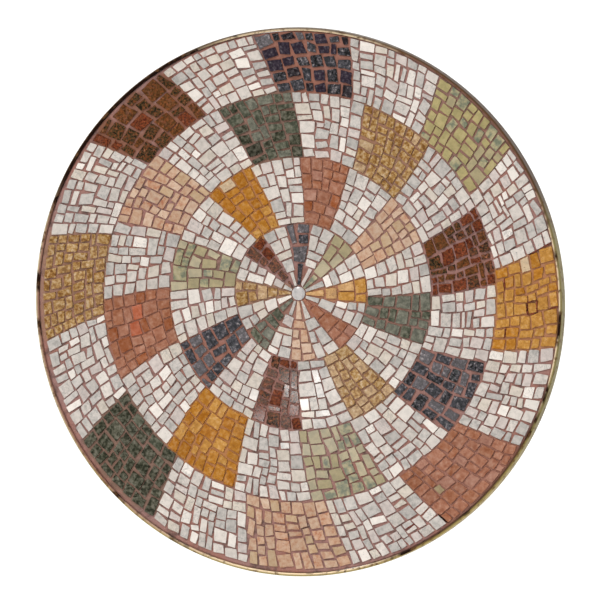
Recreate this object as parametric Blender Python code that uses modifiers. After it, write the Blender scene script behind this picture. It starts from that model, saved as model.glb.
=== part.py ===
"""Round mosaic panel, made to be fixed flat against a wall.

Four rings of small polished marble stones lie on a cast mortar slab inside a brass band.
In each ring eight fields of coloured stone alternate with eight fields of white stone, and
the sides of the fields lean, so that the rings seem to turn about the round middle stone.

Units are metres and +Z is up. The panel faces -Y, and the origin is the middle of its flat
back. Angles are in degrees, clockwise from the top as seen from the front.
"""

from math import cos, degrees, pi, radians, sin, sqrt

import bmesh
import bpy
import numpy as np

# Mortar slab, stones and brass band, front to back
SLAB_DEPTH = 0.0075
STONE_DEPTH = 0.0056
STONE_DOME = 0.0004
BAND_THICKNESS = 0.0031
BAND_PROUD = 0.0006
BAND_ROUNDING = 0.0012

# Gap between pieces that touch, and straight steps in a full round
FIT_GAP = 0.0003
ROUND_STEPS = 60
MIDDLE_STONE_STEPS = 24

# The fields point to a middle that lies high in the panel and a little to the right. The
# circles between the rings are struck about it too, but the wider ones drift to the panel's
# own middle, the later the greater CENTRING is. The middle stone sits a little off both.
MIDDLE_RIGHT = 0.0040
MIDDLE_HIGH = 0.0114
CENTRING = 2.5
MIDDLE_STONE_RADIUS = 0.0078
MIDDLE_STONE_RIGHT = 0.0011
MIDDLE_STONE_HIGH = 0.0095

# Widths of the rings, from the middle stone outwards
INNER_RING_WIDTH = 0.0677
SECOND_RING_WIDTH = 0.0738
THIRD_RING_WIDTH = 0.0747
OUTER_RING_WIDTH = 0.0722

# Fields of one ring: eight of coloured stone and eight of white, all equally wide
COLOURED_FIELDS = 8
PITCH = 360.0 / COLOURED_FIELDS
FIELD_ANGLE = PITCH / 2

# Most that a stone's corner strays from an even grid, as a share of the stone
STRAY = 0.2
STRAY_SEED = 7

# start: side of the first coloured field at the ring's inner edge; lean: how far the side
# has turned at the outer edge; first: which coloured field is navy, counted from the start
RINGS = [
    {"name": "inner_ring", "width": INNER_RING_WIDTH, "start": -9.4, "lean": -4.35, "first": 0,
     "courses": 4, "across": 2},
    {"name": "second_ring", "width": SECOND_RING_WIDTH, "start": 3.05, "lean": -3.7, "first": 5,
     "courses": 5, "across": 3},
    {"name": "third_ring", "width": THIRD_RING_WIDTH, "start": 23.6, "lean": -4.25, "first": 2,
     "courses": 5, "across": 5},
    {"name": "outer_ring", "width": OUTER_RING_WIDTH, "start": -6.8, "lean": -4.65, "first": 0,
     "courses": 5, "across": 7},
]

# Coloured stones in the order in which they follow each other clockwise
STONE_COLOURS = {
    "navy": (0.035, 0.042, 0.062),
    "olive": (0.30, 0.31, 0.11),
    "yellow": (0.66, 0.36, 0.08),
    "terracotta": (0.45, 0.10, 0.045),
    "peach": (0.72, 0.47, 0.34),
    "green": (0.045, 0.085, 0.06),
    "ochre": (0.52, 0.33, 0.10),
    "red_brown": (0.17, 0.05, 0.04),
}
WHITE_COLOUR = (0.80, 0.76, 0.71)
GREY_COLOUR = (0.55, 0.53, 0.50)
MORTAR_COLOUR = (0.30, 0.14, 0.10)
BRASS_COLOUR = (0.76, 0.57, 0.26)

# Places that follow from the sizes above
SLAB_FRONT = SLAB_DEPTH
STONE_BACK = SLAB_FRONT + FIT_GAP
STONE_FRONT = STONE_BACK + STONE_DEPTH
BAND_FRONT = STONE_FRONT + BAND_PROUD
INNER_RING_RADIUS = MIDDLE_STONE_RADIUS + INNER_RING_WIDTH
MOSAIC_RADIUS = INNER_RING_RADIUS + SECOND_RING_WIDTH + THIRD_RING_WIDTH + OUTER_RING_WIDTH
SLAB_RADIUS = MOSAIC_RADIUS
BAND_INNER_RADIUS = (MOSAIC_RADIUS + FIT_GAP) / cos(pi / ROUND_STEPS)
BAND_OUTER_RADIUS = BAND_INNER_RADIUS + BAND_THICKNESS


def clear_scene():
    """Remove every object, so that the panel is built in an empty scene."""
    for old in list(bpy.data.objects):
        bpy.data.objects.remove(old, do_unlink=True)


def principled(name, colour, roughness, metallic=0.0):
    """Plain material with one colour, roughness and metallic value."""
    material = bpy.data.materials.new(name)
    material.use_nodes = True
    shader = material.node_tree.nodes["Principled BSDF"]
    shader.inputs["Base Color"].default_value = (*colour, 1.0)
    shader.inputs["Roughness"].default_value = roughness
    shader.inputs["Metallic"].default_value = metallic
    return material


def add_object(name, mesh, material):
    """Object for one piece, in the panel's collection and under its empty."""
    piece = bpy.data.objects.new(name, mesh)
    mesh.materials.append(material)
    panel_collection.objects.link(piece)
    piece.parent = panel_root
    return piece


def aim(radius):
    """Point that the sides point to: the middle stone at its rim, the rings' middle farther out."""
    near = max(0.0, 1 - (radius - MIDDLE_STONE_RADIUS) / INNER_RING_WIDTH)
    x = MIDDLE_RIGHT + near * (MIDDLE_STONE_RIGHT - MIDDLE_RIGHT)
    z = MIDDLE_HIGH + near * (MIDDLE_STONE_HIGH - MIDDLE_HIGH)
    return x, z


def on_panel(radius, angle, depth):
    """Point where a ray from the aim crosses the circle of this radius, at this depth."""
    aim_x, aim_z = aim(radius)
    along_x = sin(radians(angle))
    along_z = cos(radians(angle))
    drift = (radius / MOSAIC_RADIUS) ** CENTRING
    off_x = MIDDLE_RIGHT * drift
    off_z = MIDDLE_HIGH * drift
    off_along = off_x * along_x + off_z * along_z
    reach = sqrt(radius**2 - off_x**2 - off_z**2 + off_along**2) - off_along
    return aim_x + reach * along_x, -depth, aim_z + reach * along_z


def inner_radius(ring_index):
    """Radius of the circle where this ring begins."""
    return MIDDLE_STONE_RADIUS + sum(ring["width"] for ring in RINGS[:ring_index])


def side_angle(ring_index, field, radius):
    """Angle of a field's first side at this radius; even fields are coloured, odd ones white."""
    ring = RINGS[ring_index]
    share = (radius - inner_radius(ring_index)) / ring["width"]
    return ring["start"] + ring["lean"] * share + field * FIELD_ANGLE


def field_point(ring_index, field, across, outwards, depth):
    """Point of a field's face, from shares of its width and of its ring, half a gap inside."""
    ring = RINGS[ring_index]
    half_step = radians(FIELD_ANGLE / ring["across"]) / 2
    begin = (inner_radius(ring_index) + FIT_GAP / 2) / cos(half_step)
    end = inner_radius(ring_index) + ring["width"] - FIT_GAP / 2
    radius = begin + (end - begin) * outwards
    inset = degrees(FIT_GAP / 2 / radius)
    angle = side_angle(ring_index, field, radius) + inset + across * (FIELD_ANGLE - 2 * inset)
    return on_panel(radius, angle, depth)


def add_stones(bm, ring_index, field, rng, seam=None):
    """Grid of stones over one field, each raised to a low point, and the grid's corner rows.

    A seam is the share across at which a line of joints has to meet the next ring: first the
    row that it is on, 0 for the inner edge and 1 for the outer one, then the share itself.
    """
    ring = RINGS[ring_index]
    grid = bmesh.ops.create_grid(bm, x_segments=ring["across"], y_segments=ring["courses"], size=0.5)
    corners = sorted(grid["verts"], key=lambda corner: (round(corner.co.y, 4), corner.co.x))
    row_length = ring["across"] + 1
    rows = [corners[i:i + row_length] for i in range(0, len(corners), row_length)]
    joint_depth = STONE_FRONT - STONE_DOME
    for row, line in enumerate(rows):
        for column, corner in enumerate(line):
            across = column / ring["across"]
            outwards = row / ring["courses"]
            stray = rng.uniform(-STRAY, STRAY, 2)
            if 0 < row < ring["courses"] and 0 < column < ring["across"]:
                across += stray[0] / ring["across"]
                outwards += stray[1] / ring["courses"]
            if seam and row == seam[0] * ring["courses"] and column == seam[1]:
                across = seam[2]
            corner.co = field_point(ring_index, field, across, outwards, joint_depth)
    stones = {face for corner in corners for face in corner.link_faces}
    ordered = sorted(stones, key=lambda face: face.index)
    for face in ordered:
        face.normal_update()
    bmesh.ops.poke(bm, faces=ordered, offset=STONE_DOME)
    return rows


def close_behind(bm):
    """Walls from the open edge back to the slab, and one flat face behind."""
    open_edges = [edge for edge in bm.edges if edge.is_boundary]
    walls = bmesh.ops.extrude_edge_only(bm, edges=open_edges)["geom"]
    for corner in (item for item in walls if isinstance(item, bmesh.types.BMVert)):
        corner.co.y = -STONE_BACK
    back_edges = [item for item in walls if isinstance(item, bmesh.types.BMEdge)]
    bmesh.ops.edgeloop_fill(bm, edges=back_edges)
    bmesh.ops.recalc_face_normals(bm, faces=bm.faces)


def to_mesh(bm, name):
    """Mesh data from a finished bmesh."""
    mesh = bpy.data.meshes.new(name)
    bm.to_mesh(mesh)
    bm.free()
    return mesh


def add_field(name, ring_index, field, material, rng):
    """One field of stones as a slab with a stone-by-stone face."""
    bm = bmesh.new()
    add_stones(bm, ring_index, field, rng)
    close_behind(bm)
    add_object(name, to_mesh(bm, name), material)


def add_joined_field(name, field, material, rng):
    """A white field of the inner ring and the one outside it, which touch along a short neck."""
    meeting = INNER_RING_RADIUS
    inset = degrees(FIT_GAP / meeting)
    neck_start = side_angle(1, field, meeting) + inset
    neck_end = side_angle(0, field + 1, meeting) - inset
    inner_share = (neck_start - side_angle(0, field, meeting)) / FIELD_ANGLE
    outer_share = (neck_end - side_angle(1, field, meeting)) / FIELD_ANGLE
    bm = bmesh.new()
    inner_rows = add_stones(bm, 0, field, rng, seam=(1, RINGS[0]["across"] - 1, inner_share))
    outer_rows = add_stones(bm, 1, field, rng, seam=(0, 1, outer_share))
    bm.faces.new([inner_rows[-1][-2], inner_rows[-1][-1], outer_rows[0][1], outer_rows[0][0]])
    close_behind(bm)
    add_object(name, to_mesh(bm, name), material)


def add_mosaic(stone_materials, white_material):
    """All fields of all rings, in one fixed order so that each run gives the same stones."""
    rng = np.random.default_rng(STRAY_SEED)
    colours = list(stone_materials)
    for ring_index, ring in enumerate(RINGS):
        for place in range(COLOURED_FIELDS):
            colour = colours[(place - ring["first"]) % COLOURED_FIELDS]
            name = f"{ring['name']}_{colour}_stones"
            add_field(name, ring_index, 2 * place, stone_materials[colour], rng)
    for place in range(COLOURED_FIELDS):
        add_joined_field(f"inner_rings_white_stones_{place + 1}", 2 * place + 1, white_material, rng)
    for ring_index in (2, 3):
        for place in range(COLOURED_FIELDS):
            name = f"{RINGS[ring_index]['name']}_white_stones_{place + 1}"
            add_field(name, ring_index, 2 * place + 1, white_material, rng)


def add_round(name, radius, steps, back, front, middle, material):
    """Flat disc with its axis along Y, between two depths."""
    bm = bmesh.new()
    bmesh.ops.create_cone(bm, cap_ends=True, segments=steps, radius1=radius, radius2=radius,
                          depth=front - back)
    mesh = to_mesh(bm, name)
    disc = add_object(name, mesh, material)
    disc.rotation_euler.x = pi / 2
    disc.location = (middle[0], -(back + front) / 2, middle[1])
    return disc


def add_band(material):
    """Brass band as a turned profile, its two front corners rounded over."""
    corner = BAND_ROUNDING
    corner_steps = 2
    outline = [(BAND_INNER_RADIUS, 0.0), (BAND_OUTER_RADIUS, 0.0)]
    for side, middle in ((0, BAND_OUTER_RADIUS - corner), (1, BAND_INNER_RADIUS + corner)):
        for step in range(corner_steps + 1):
            turn = (side + step / corner_steps) * pi / 2
            outline.append((middle + corner * cos(turn), BAND_FRONT - corner + corner * sin(turn)))
    bm = bmesh.new()
    corners = [bm.verts.new((radius, -depth, 0.0)) for radius, depth in outline]
    for first, second in zip(corners, corners[1:] + corners[:1]):
        bm.edges.new((first, second))
    band = add_object("edge_band", to_mesh(bm, "edge_band"), material)
    screw = band.modifiers.new("turned", "SCREW")
    screw.axis = "Y"
    screw.steps = ROUND_STEPS
    screw.render_steps = ROUND_STEPS
    screw.use_merge_vertices = True
    screw.merge_threshold = 0.00005
    screw.use_smooth_shade = True
    return band


clear_scene()
panel_collection = bpy.data.collections.new("mosaic_panel")
bpy.context.scene.collection.children.link(panel_collection)
panel_root = bpy.data.objects.new("mosaic_panel", None)
panel_collection.objects.link(panel_root)

brass = principled("polished_brass", BRASS_COLOUR, 0.2, metallic=1.0)
mortar = principled("mortar", MORTAR_COLOUR, 0.85)
white_marble = principled("white_marble", WHITE_COLOUR, 0.25)
grey_marble = principled("grey_marble", GREY_COLOUR, 0.25)
coloured_marbles = {
    name: principled(f"{name}_stone", colour, 0.25) for name, colour in STONE_COLOURS.items()
}

add_band(brass)
add_round("mortar_slab", SLAB_RADIUS, ROUND_STEPS, 0.0, SLAB_FRONT, (0.0, 0.0), mortar)
add_round("middle_stone", MIDDLE_STONE_RADIUS - FIT_GAP / 2, MIDDLE_STONE_STEPS, STONE_BACK,
          STONE_FRONT, (MIDDLE_STONE_RIGHT, MIDDLE_STONE_HIGH), grey_marble)
add_mosaic(coloured_marbles, white_marble)
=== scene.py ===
"""Looks of the round mosaic panel: polished marble stones set in mauve cement inside a brass band.

The panel hangs upright and faces -Y. All sizes are metres, and angles on the panel are degrees
clockwise from the top, as seen from the front.
"""

import bpy
import numpy as np
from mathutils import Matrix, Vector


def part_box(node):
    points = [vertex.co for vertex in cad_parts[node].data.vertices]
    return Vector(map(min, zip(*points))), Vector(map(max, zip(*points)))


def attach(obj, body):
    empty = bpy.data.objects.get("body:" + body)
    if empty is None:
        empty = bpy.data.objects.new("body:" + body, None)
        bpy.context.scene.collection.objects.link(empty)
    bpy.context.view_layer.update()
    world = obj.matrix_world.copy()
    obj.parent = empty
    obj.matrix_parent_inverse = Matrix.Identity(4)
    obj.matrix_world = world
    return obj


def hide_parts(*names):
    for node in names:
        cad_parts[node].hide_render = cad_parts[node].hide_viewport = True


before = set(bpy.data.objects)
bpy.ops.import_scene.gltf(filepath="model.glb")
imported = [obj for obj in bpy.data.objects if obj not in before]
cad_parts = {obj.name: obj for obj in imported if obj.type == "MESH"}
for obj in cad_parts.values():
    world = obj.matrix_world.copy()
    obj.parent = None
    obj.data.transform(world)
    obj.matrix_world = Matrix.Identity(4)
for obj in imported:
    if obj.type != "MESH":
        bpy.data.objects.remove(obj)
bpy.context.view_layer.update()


# Mortar slab
# One round bed of mauve-brown cement, cast behind the stones after they are set and wiped off
# a little under their faces, so that it also fills each joint and the strip inside the band.
STONE_FACE = -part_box("inner_ring_navy_stones")[0].y
SLAB_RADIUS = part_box("mortar_slab")[1].x
JOINT_HOLLOW = 0.00165
JOINT_SWELL = 0.00022
TROWEL_MARK = 0.006
SLAB_ROWS = 120
SLAB_STEPS = 400
STAIN_SIZE = 0.07
STAIN_LEVELS = (0.42, 0.6)
GRIME_SIZE = 0.009
GRIME_LEVELS = (0.5, 0.72)
SAND_SIZE = 0.0011
SAND_LEVELS = (0.6, 0.72)
SAND_BUMP = 0.0002
MORTAR_MAUVE = (151, 113, 106)
MORTAR_BROWN = (153, 106, 94)
MORTAR_DARK = (100, 76, 70)
MORTAR_SAND = (166, 138, 128)
NET_SIDE = 512


def tone(colour):
    """Linear RGBA of a colour given as screen red, green and blue, by the sRGB curve."""
    share = np.array(colour) / 255
    linear = np.where(share > 0.04045, ((share + 0.055) / 1.055) ** 2.4, share / 12.92)
    return (*(float(channel) for channel in linear), 1.0)


def add_node(tree, kind, feeds, **settings):
    """One shader node with its settings; each feed is a plain value or another node's output."""
    new = tree.nodes.new(kind)
    for setting, value in settings.items():
        setattr(new, setting, value)
    for socket, feed in feeds.items():
        if isinstance(feed, bpy.types.NodeSocket):
            tree.links.new(feed, new.inputs[socket])
        else:
            new.inputs[socket].default_value = feed
    return new


def cloud(tree, place, size, detail=3.0, **more):
    """Soft clouds about as wide as size: the height, 0 to 1, of a noise over the place."""
    feeds = {"Vector": place, "Scale": 1 / size, "Detail": detail, **more}
    return add_node(tree, "ShaderNodeTexNoise", feeds).outputs[0]


def between(tree, height, low, high, start=0.0, end=1.0):
    """Start where the height is under low, end where it is over high, a straight way between."""
    feeds = {0: height, 1: low, 2: high, 3: start, 4: end}
    return add_node(tree, "ShaderNodeMapRange", feeds).outputs[0]


def blend(tree, share, first, second, way="MIX"):
    """Colour between first and second by the share, or the two worked together another way."""
    feeds = {0: share, 6: first, 7: second}
    return add_node(tree, "ShaderNodeMix", feeds, data_type="RGBA", blend_type=way).outputs[2]


def new_material(name, **sockets):
    """Material with one Principled shader, its even values set on the shader's own sockets.

    Gives the material, its tree, the shader and the place on the object.
    """
    material = bpy.data.materials.new(name)
    material.use_nodes = True
    shader = material.node_tree.nodes["Principled BSDF"]
    for socket, value in sockets.items():
        shader.inputs[socket.replace("_", " ")].default_value = value
    place = add_node(material.node_tree, "ShaderNodeTexCoord", {}).outputs["Object"]
    return material, material.node_tree, shader, place


def dress(tree, shader, colour, roughness, height, depth):
    """Colour, roughness and a bump of this depth, all from nodes, go into the shader."""
    bump = add_node(tree, "ShaderNodeBump", {"Strength": 1.0, "Distance": depth, "Height": height})
    tree.links.new(colour, shader.inputs["Base Color"])
    tree.links.new(roughness, shader.inputs["Roughness"])
    tree.links.new(bump.outputs[0], shader.inputs["Normal"])


def mortar_material():
    """Mauve cement, browner in broad stains, with dark grime, pale sand and a sandy bump.

    Between coloured stones the slab's own attributes tint it with their dust.
    """
    material, tree, shader, place = new_material("mauve_mortar", Specular_IOR_Level=0.3)
    stains = between(tree, cloud(tree, place, STAIN_SIZE), *STAIN_LEVELS)
    colour = blend(tree, stains, tone(MORTAR_MAUVE), tone(MORTAR_BROWN))
    grime = between(tree, cloud(tree, place, GRIME_SIZE), *GRIME_LEVELS)
    colour = blend(tree, grime, colour, tone(MORTAR_DARK))
    sand = cloud(tree, place, SAND_SIZE, 2.0)
    colour = blend(tree, between(tree, sand, *SAND_LEVELS), colour, tone(MORTAR_SAND))
    tint = add_node(tree, "ShaderNodeAttribute", {}, attribute_name="joint_tint").outputs["Color"]
    share = add_node(tree, "ShaderNodeAttribute", {}, attribute_name="joint_tint_share").outputs["Fac"]
    colour = blend(tree, share, colour, tint)
    roughness = between(tree, sand, -1.6, 1.0)
    dress(tree, shader, colour, roughness, sand, SAND_BUMP)
    return material


def hills(x, z, size, seed):
    """Smooth heights from -1 to 1 at the places x, z.

    A square net of the given size carries random heights, and a place takes a mix of the four
    around it, by its shares of the way across the net, each eased as 3 s s - 2 s s s.
    """
    net = np.random.default_rng(seed).uniform(-1, 1, (NET_SIDE, NET_SIDE))
    across, up = x / size + NET_SIDE / 2, z / size + NET_SIDE / 2
    column, row = np.floor(across).astype(int), np.floor(up).astype(int)
    s, t = across - column, up - row
    s, t = s * s * (3 - 2 * s), t * t * (3 - 2 * t)
    low = net[row, column] * (1 - s) + net[row, column + 1] * s
    high = net[row + 1, column] * (1 - s) + net[row + 1, column + 1] * s
    return low * (1 - t) + high * t


def fill_mesh(name, points, face_sets, material, smooth=True):
    """Mesh object at the origin from an array of points and arrays of faces with equal sides."""
    corners = np.concatenate([faces.ravel() for faces in face_sets])
    sides = np.concatenate([np.full(len(faces), faces.shape[1]) for faces in face_sets])
    mesh = bpy.data.meshes.new(name)
    mesh.vertices.add(len(points))
    mesh.vertices.foreach_set("co", points.ravel())
    mesh.loops.add(len(corners))
    mesh.loops.foreach_set("vertex_index", corners)
    mesh.polygons.add(len(sides))
    mesh.polygons.foreach_set("loop_start", np.cumsum(sides) - sides)
    mesh.polygons.foreach_set("use_smooth", np.full(len(sides), smooth))
    mesh.update(calc_edges=True)
    mesh.validate()
    mesh.materials.append(material)
    piece = bpy.data.objects.new(name, mesh)
    bpy.context.scene.collection.objects.link(piece)
    return piece


def turned_points(radius, depth, steps, middle=(0.0, 0.0)):
    """A profile carried round the middle: x = radius sin turn, y = -depth, z = radius cos turn."""
    turn = np.linspace(0, 2 * np.pi, steps, endpoint=False)
    x = middle[0] + np.outer(radius, np.sin(turn))
    z = middle[1] + np.outer(radius, np.cos(turn))
    return np.stack([x, np.broadcast_to(-np.reshape(depth, (-1, 1)), x.shape), z], axis=-1)


def turned_faces(rows, steps, closed):
    """Four-sided faces between the rows of a turned grid, which also close round each row."""
    row = np.arange(rows if closed else rows - 1)[:, None]
    step = np.arange(steps)[None, :]
    here, ahead = row * steps, (row + 1) % rows * steps
    after = (step + 1) % steps
    return np.stack([here + step, here + after, ahead + after, ahead + step], -1).reshape(-1, 4)


def add_turned_solid(name, points, front_middle, back_middle, material):
    """Solid round piece: turned rows from near its front middle to near its back middle."""
    rows, steps, _ = points.shape
    step = np.arange(steps)
    after = (step + 1) % steps
    front, back, last = rows * steps, rows * steps + 1, (rows - 1) * steps
    front_fan = np.stack([np.full(steps, front), after, step], -1)
    back_fan = np.stack([last + step, last + after, np.full(steps, back)], -1)
    corners = np.concatenate([points.reshape(-1, 3), [front_middle, back_middle]])
    faces = [turned_faces(rows, steps, closed=False), front_fan, back_fan]
    return fill_mesh(name, corners, faces, material)


def add_mortar_slab():
    """Slab with a wiped front: its depth is the joints' level plus hills of two sizes."""
    radius = np.linspace(0, SLAB_RADIUS, SLAB_ROWS + 1)[1:]
    level = STONE_FACE - JOINT_HOLLOW
    front = turned_points(radius, np.full(SLAB_ROWS, level), SLAB_STEPS)
    marks = hills(front[..., 0], front[..., 2], TROWEL_MARK, 11)
    marks = marks + hills(front[..., 0], front[..., 2], TROWEL_MARK / 3, 12) / 2
    front[..., 1] -= marks * JOINT_SWELL
    back = turned_points([SLAB_RADIUS, SLAB_RADIUS / 2], [0.0, 0.0], SLAB_STEPS)
    points = np.concatenate([front, back])
    slab = add_turned_solid("mortar_bed", points, (0, -level, 0), (0, 0, 0), mortar_material())
    slab.data.attributes.new("joint_tint", "FLOAT_VECTOR", "POINT")
    slab.data.attributes.new("joint_tint_share", "FLOAT", "POINT")
    return slab


mortar_bed = add_mortar_slab()
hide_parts("mortar_slab")
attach(mortar_bed, "root")


# White marble stones
# Hand-cut pieces of white and pale grey marble, polished, in eight fields of each ring. They
# are set close, in loose courses that follow the rings, and the last ones are cut to the edge.
MIDDLE_RIGHT = 0.0040
MIDDLE_HIGH = 0.0114
MIDDLE_STONE_RADIUS = 0.0078
MIDDLE_STONE_RIGHT = 0.0011
MIDDLE_STONE_HIGH = 0.0095
CENTRING = 2.5
RING_WIDTHS = (0.0677, 0.0738, 0.0747, 0.0722)
RING_EDGES = MIDDLE_STONE_RADIUS + np.concatenate([[0], np.cumsum(RING_WIDTHS)])
RING_STARTS = (-9.4, 3.05, 23.6, -6.8)
RING_LEANS = (-4.35, -3.7, -4.25, -4.65)
RING_NAVY = (0, 5, 2, 0)
OUTER_RING = 3
FIELD_ANGLE = 22.5
SETTING_SEED = 41

STRIP_MEAN = 0.0020
STRIP_SWING = 0.0025
STRIP_WIDEST = np.radians(240)
NARROWEST = 0.0080
WIDEST = 1.12
LEVELLED = 0.0016
NARROW = 0.009
WIDE = 0.0125
LONGER = 1.15
SHORTER = 0.9
SPLIT = (0.42, 0.58)
ALMOST = 0.999
QUARTERS = np.radians([-90, 0, 90, 180])
JOINT_SPREAD = (0.5, 0.9)
JOINT_GAPE = 1.8
SIDE_SPREAD = (0.5, 1.2)
CLOSEST = 0.00035
LEAST_REACH = 0.0002
CHIP = 3
CORNER_CHIP = 0.0006
SIDE_STEPS = 4
SWAY = 0.0030
SWAY_SHARE = 0.06
SWAY_SIZE = 0.022
TILT = 0.008
ARRIS_WIDTH = 0.00022
ARRIS_DEPTH = 0.00030
SUNK = (0.00001, 0.00012)
STONE_BED = 0.0050

WHITE_TONES = (
    (0.09, (236, 227, 217), 0.30),
    (0.22, (217, 207, 197), 0.40),
    (0.20, (202, 192, 182), 0.50),
    (0.17, (188, 182, 175), 0.55),
    (0.12, (174, 169, 163), 0.50),
    (0.11, (210, 197, 180), 0.40),
    (0.09, (199, 184, 177), 0.40),
)
WHITE_MOTTLE = (
    (0.36, (140, 135, 129)),
    (0.45, (174, 168, 161)),
    (0.56, (194, 185, 177)),
    (0.66, (206, 197, 189)),
)
ODD_FROM = 0.9
GLARE_RIGHT = 0.0036
GLARE_HIGH = -0.1185
GLARE_REACH = 0.010
PATTERN_SHIFT = (3.0, 3.0, 3.0)
OWN_LIGHT = (0.91, 1.09)
VEINED = (0.4, 1.0)
FLECK_EDGE = 0.06
WEAR_SIZE = 0.02
WEAR = 0.04
STONE_BUMP = 0.00001
laid_fields = []


def on_panel(radius, angle):
    """Place on the panel where a ray at this angle crosses the ring's circle of this radius.

    The ray leaves from the middle that the fields point to, which slides from the middle stone
    to the rings' middle over the inner ring. The circle's own middle has drifted from there
    towards the panel's by the share (radius / mosaic radius) to the power CENTRING.
    """
    near = np.maximum(0, 1 - (radius - MIDDLE_STONE_RADIUS) / RING_WIDTHS[0])
    aim_x = MIDDLE_RIGHT + near * (MIDDLE_STONE_RIGHT - MIDDLE_RIGHT)
    aim_z = MIDDLE_HIGH + near * (MIDDLE_STONE_HIGH - MIDDLE_HIGH)
    along_x, along_z = np.sin(np.radians(angle)), np.cos(np.radians(angle))
    drift = (radius / RING_EDGES[-1]) ** CENTRING
    off_x, off_z = MIDDLE_RIGHT * drift, MIDDLE_HIGH * drift
    off_along = off_x * along_x + off_z * along_z
    reach = np.sqrt(radius**2 - off_x**2 - off_z**2 + off_along**2) - off_along
    return np.stack([aim_x + reach * along_x, aim_z + reach * along_z], axis=-1)


def field_place(ring, field, share, radius):
    """Place at a share of a field's width and a radius, with the field's leaning sides."""
    outwards = (radius - RING_EDGES[ring]) / RING_WIDTHS[ring]
    angle = RING_STARTS[ring] + RING_LEANS[ring] * outwards + FIELD_ANGLE * (field + share)
    return on_panel(radius, angle)


def cut_length(wanted, room, widest, draw):
    """Length of the next stone in this room, so that what is left still takes a stone.

    Room for a little more than one stone is SPLIT near its middle.
    """
    if room >= wanted + NARROWEST:
        return wanted
    if room <= widest:
        return room
    return room * draw.uniform(*SPLIT)


def set_out(ring, end, sizes, draw):
    """Cells of one field, as rows of share from, share to, radius from and radius to.

    The next stone always goes in the lowest notch of those laid so far. A narrow notch is
    filled across, and a wider one takes a stone at one of its ends. A stone's top is levelled
    with the one beside it where they nearly meet, and the last stones are cut to the edge. One
    under NARROW is cut LONGER and one over WIDE SHORTER, and the inner ring's are LONGER again.
    """
    notches = [[0.0, 1.0, RING_EDGES[ring]]]
    widest = WIDEST * max(sizes)
    cells = []
    while min(notch[2] for notch in notches) < end:
        low = min(range(len(notches)), key=lambda place: notches[place][2])
        left, right, base = notches[low]
        field_width = np.radians(FIELD_ANGLE) * (base + NARROWEST)
        width = cut_length(draw.choice(sizes), (right - left) * field_width, widest, draw)
        wanted = draw.choice(sizes) * (LONGER if width < NARROW else SHORTER if width > WIDE else 1)
        if ring == 0:
            wanted *= LONGER
        top = base + cut_length(wanted, end - base, widest, draw)
        for beside in notches[max(low - 1, 0):low + 2]:
            if 0 < abs(beside[2] - top) < LEVELLED and beside[2] > base:
                top = beside[2]
        share = width / field_width
        if share > (right - left) * ALMOST:
            laid = [[left, right, top]]
        elif draw.random() < 0.5:
            laid = [[left, left + share, top], [left + share, right, base]]
        else:
            laid = [[left, right - share, base], [right - share, right, top]]
        new = next(notch for notch in laid if notch[2] == top)
        cells.append((new[0], new[1], base, top))
        notches[low:low + 1] = laid
        merged = [notches[0]]
        for notch in notches[1:]:
            if notch[2] == merged[-1][2]:
                merged[-1][1] = notch[1]
            else:
                merged.append(notch)
        notches = merged
    return np.array(cells)


def cell_corners(ring, field, cells):
    """Corners (stone, corner, x and z) of the cells, counter-clockwise from the front.

    Within a field the courses sway: a corner at the share s of the way across it slides by
    hills times 4 s (1 - s), so that the field's sides stay straight, and outwards likewise.
    In the outer ring the mortar strip beside the band is left free, as wide as
    STRIP_MEAN + STRIP_SWING cos (angle - STRIP_WIDEST), or none where that is under 0.
    """
    share = cells[:, [0, 1, 1, 0]]
    radius = cells[:, [2, 2, 3, 3]]
    inside = (radius - RING_EDGES[ring]) / RING_WIDTHS[ring]
    place = field_place(ring, field, share, radius)
    width = np.radians(FIELD_ANGLE) * radius
    sway = np.minimum(SWAY, SWAY_SHARE * width)
    across = hills(place[..., 0], place[..., 1], SWAY_SIZE, 21)
    outwards = hills(place[..., 0], place[..., 1], SWAY_SIZE, 22)
    share = share + 4 * share * (1 - share) * across * sway / width
    radius = radius + 4 * inside * (1 - inside) * outwards * sway
    if ring == OUTER_RING:
        angle = np.radians(RING_STARTS[ring] + FIELD_ANGLE * (field + share))
        strip = STRIP_MEAN + STRIP_SWING * np.cos(angle - STRIP_WIDEST)
        radius = radius - np.maximum(strip, 0) * inside
    return field_place(ring, field, share, radius)


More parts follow.
